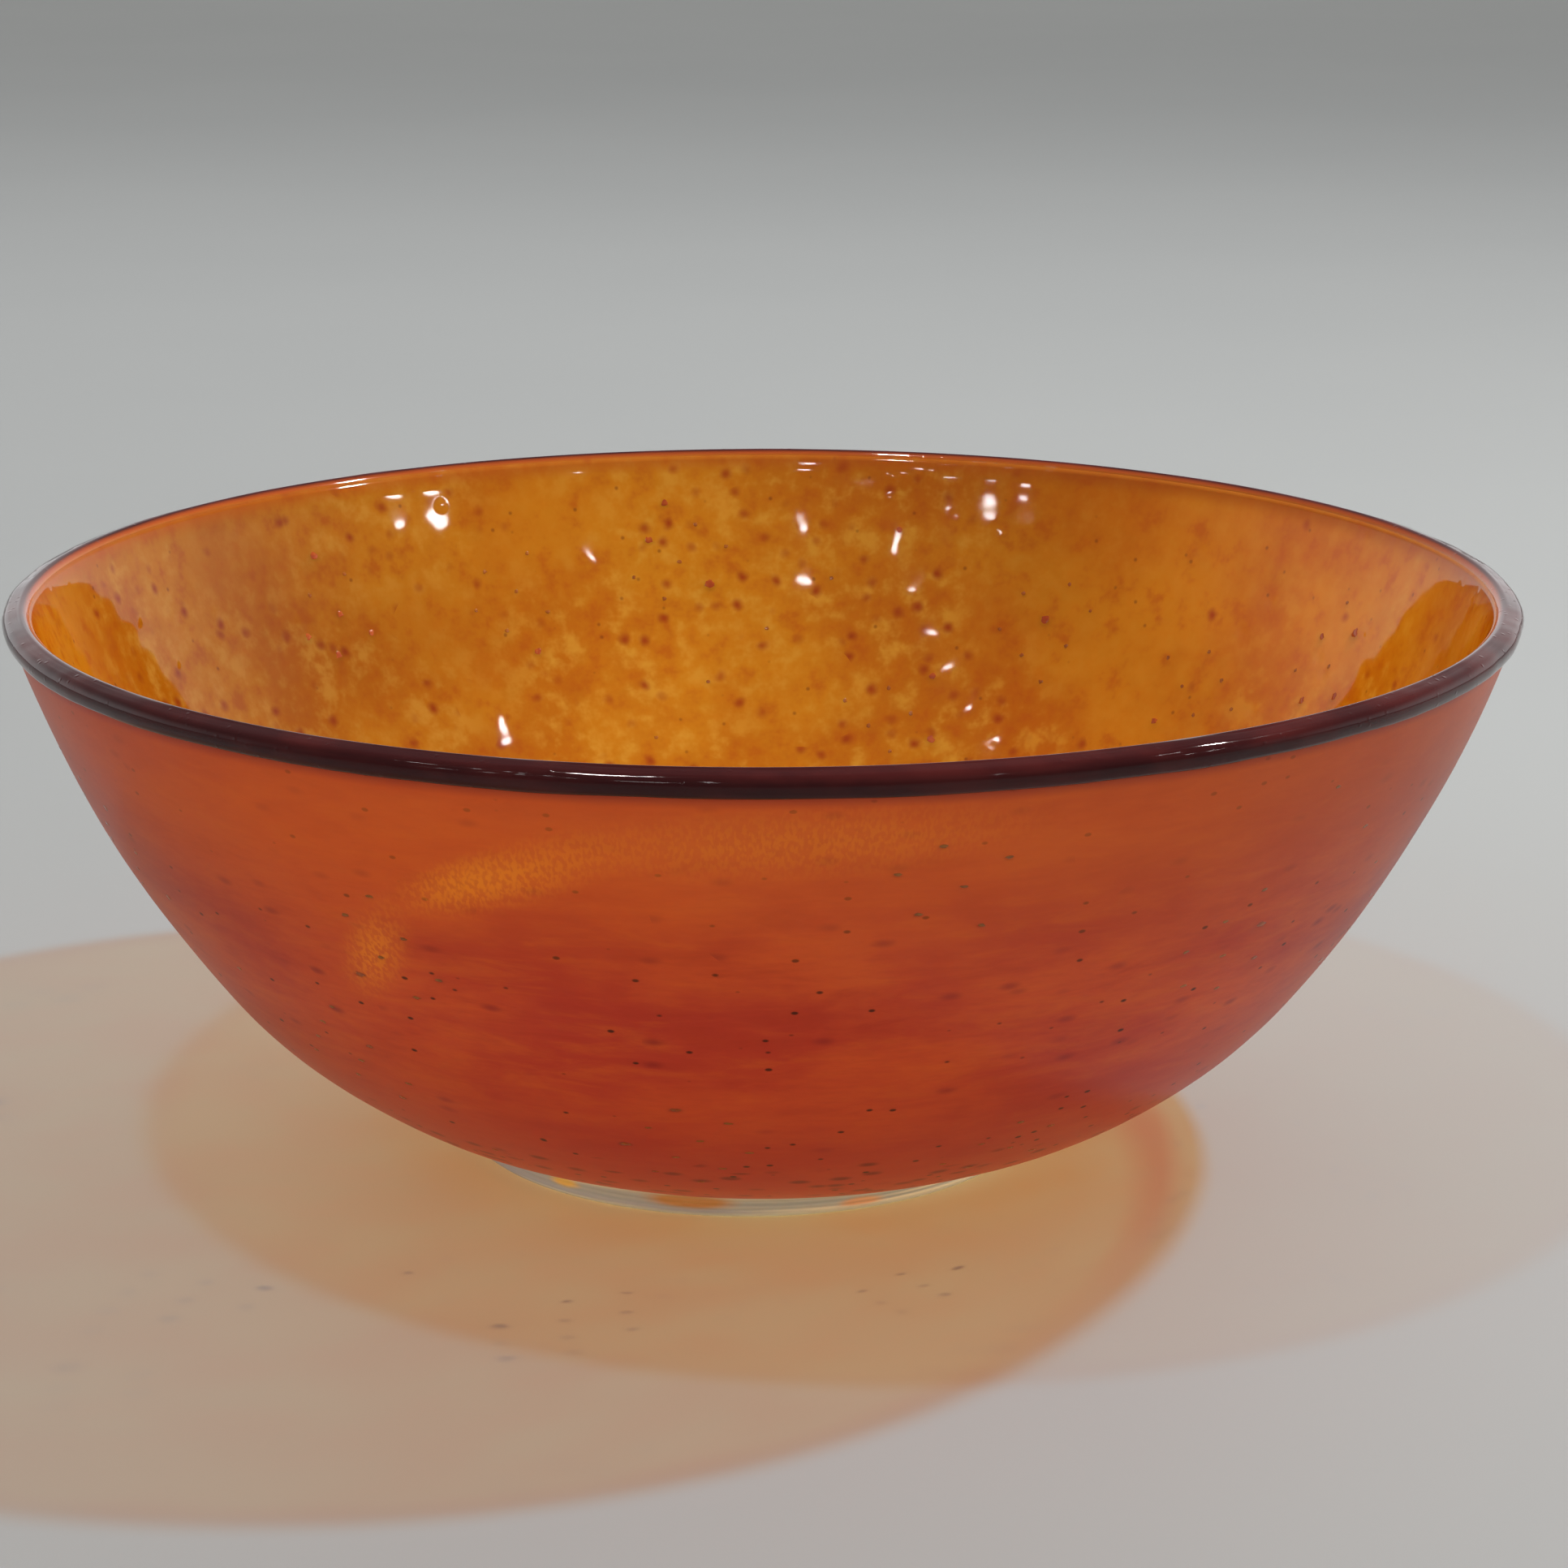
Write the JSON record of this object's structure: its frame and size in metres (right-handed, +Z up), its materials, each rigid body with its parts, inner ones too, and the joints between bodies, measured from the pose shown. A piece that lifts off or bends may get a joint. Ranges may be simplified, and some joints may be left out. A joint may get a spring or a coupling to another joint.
{
  "type": "art glass bowl",
  "caption": "Footed bowl of cased art glass: amber inside and red-orange outside, with melted-in frit, a dark lip wrap and a clear disc foot.",
  "frame": {"origin": "on the table, in the middle of the bowl's bounding box, which is straight under the centre of the rim", "axes": "+Z up, out of the bowl's mouth; -Y towards the side that the picture shows; the foot sits slightly towards -X"},
  "size_m": [0.24, 0.24, 0.091],
  "materials": {
    "clear_foot": "clear colourless glass, polished",
    "outer_casing": "translucent red-orange glass, satin",
    "colour_layer": "mottled orange colour, melted in",
    "red_frit": "dark red frit, melted in",
    "dark_frit": "near-black frit, melted in",
    "inner_lining": "amber glass over the mottled colour, glossy",
    "lip_wrap": "near-black aubergine glass, glossy"
  },
  "bodies": {
    "root": {"clear_foot": "clear_foot", "outer_casing": "outer_casing", "colour_layer": "colour_layer", "red_frit_chips": "red_frit", "dark_frit_grains": "dark_frit", "inner_lining": "inner_lining", "lip_wrap": "lip_wrap"}
  },
  "joints": []
}
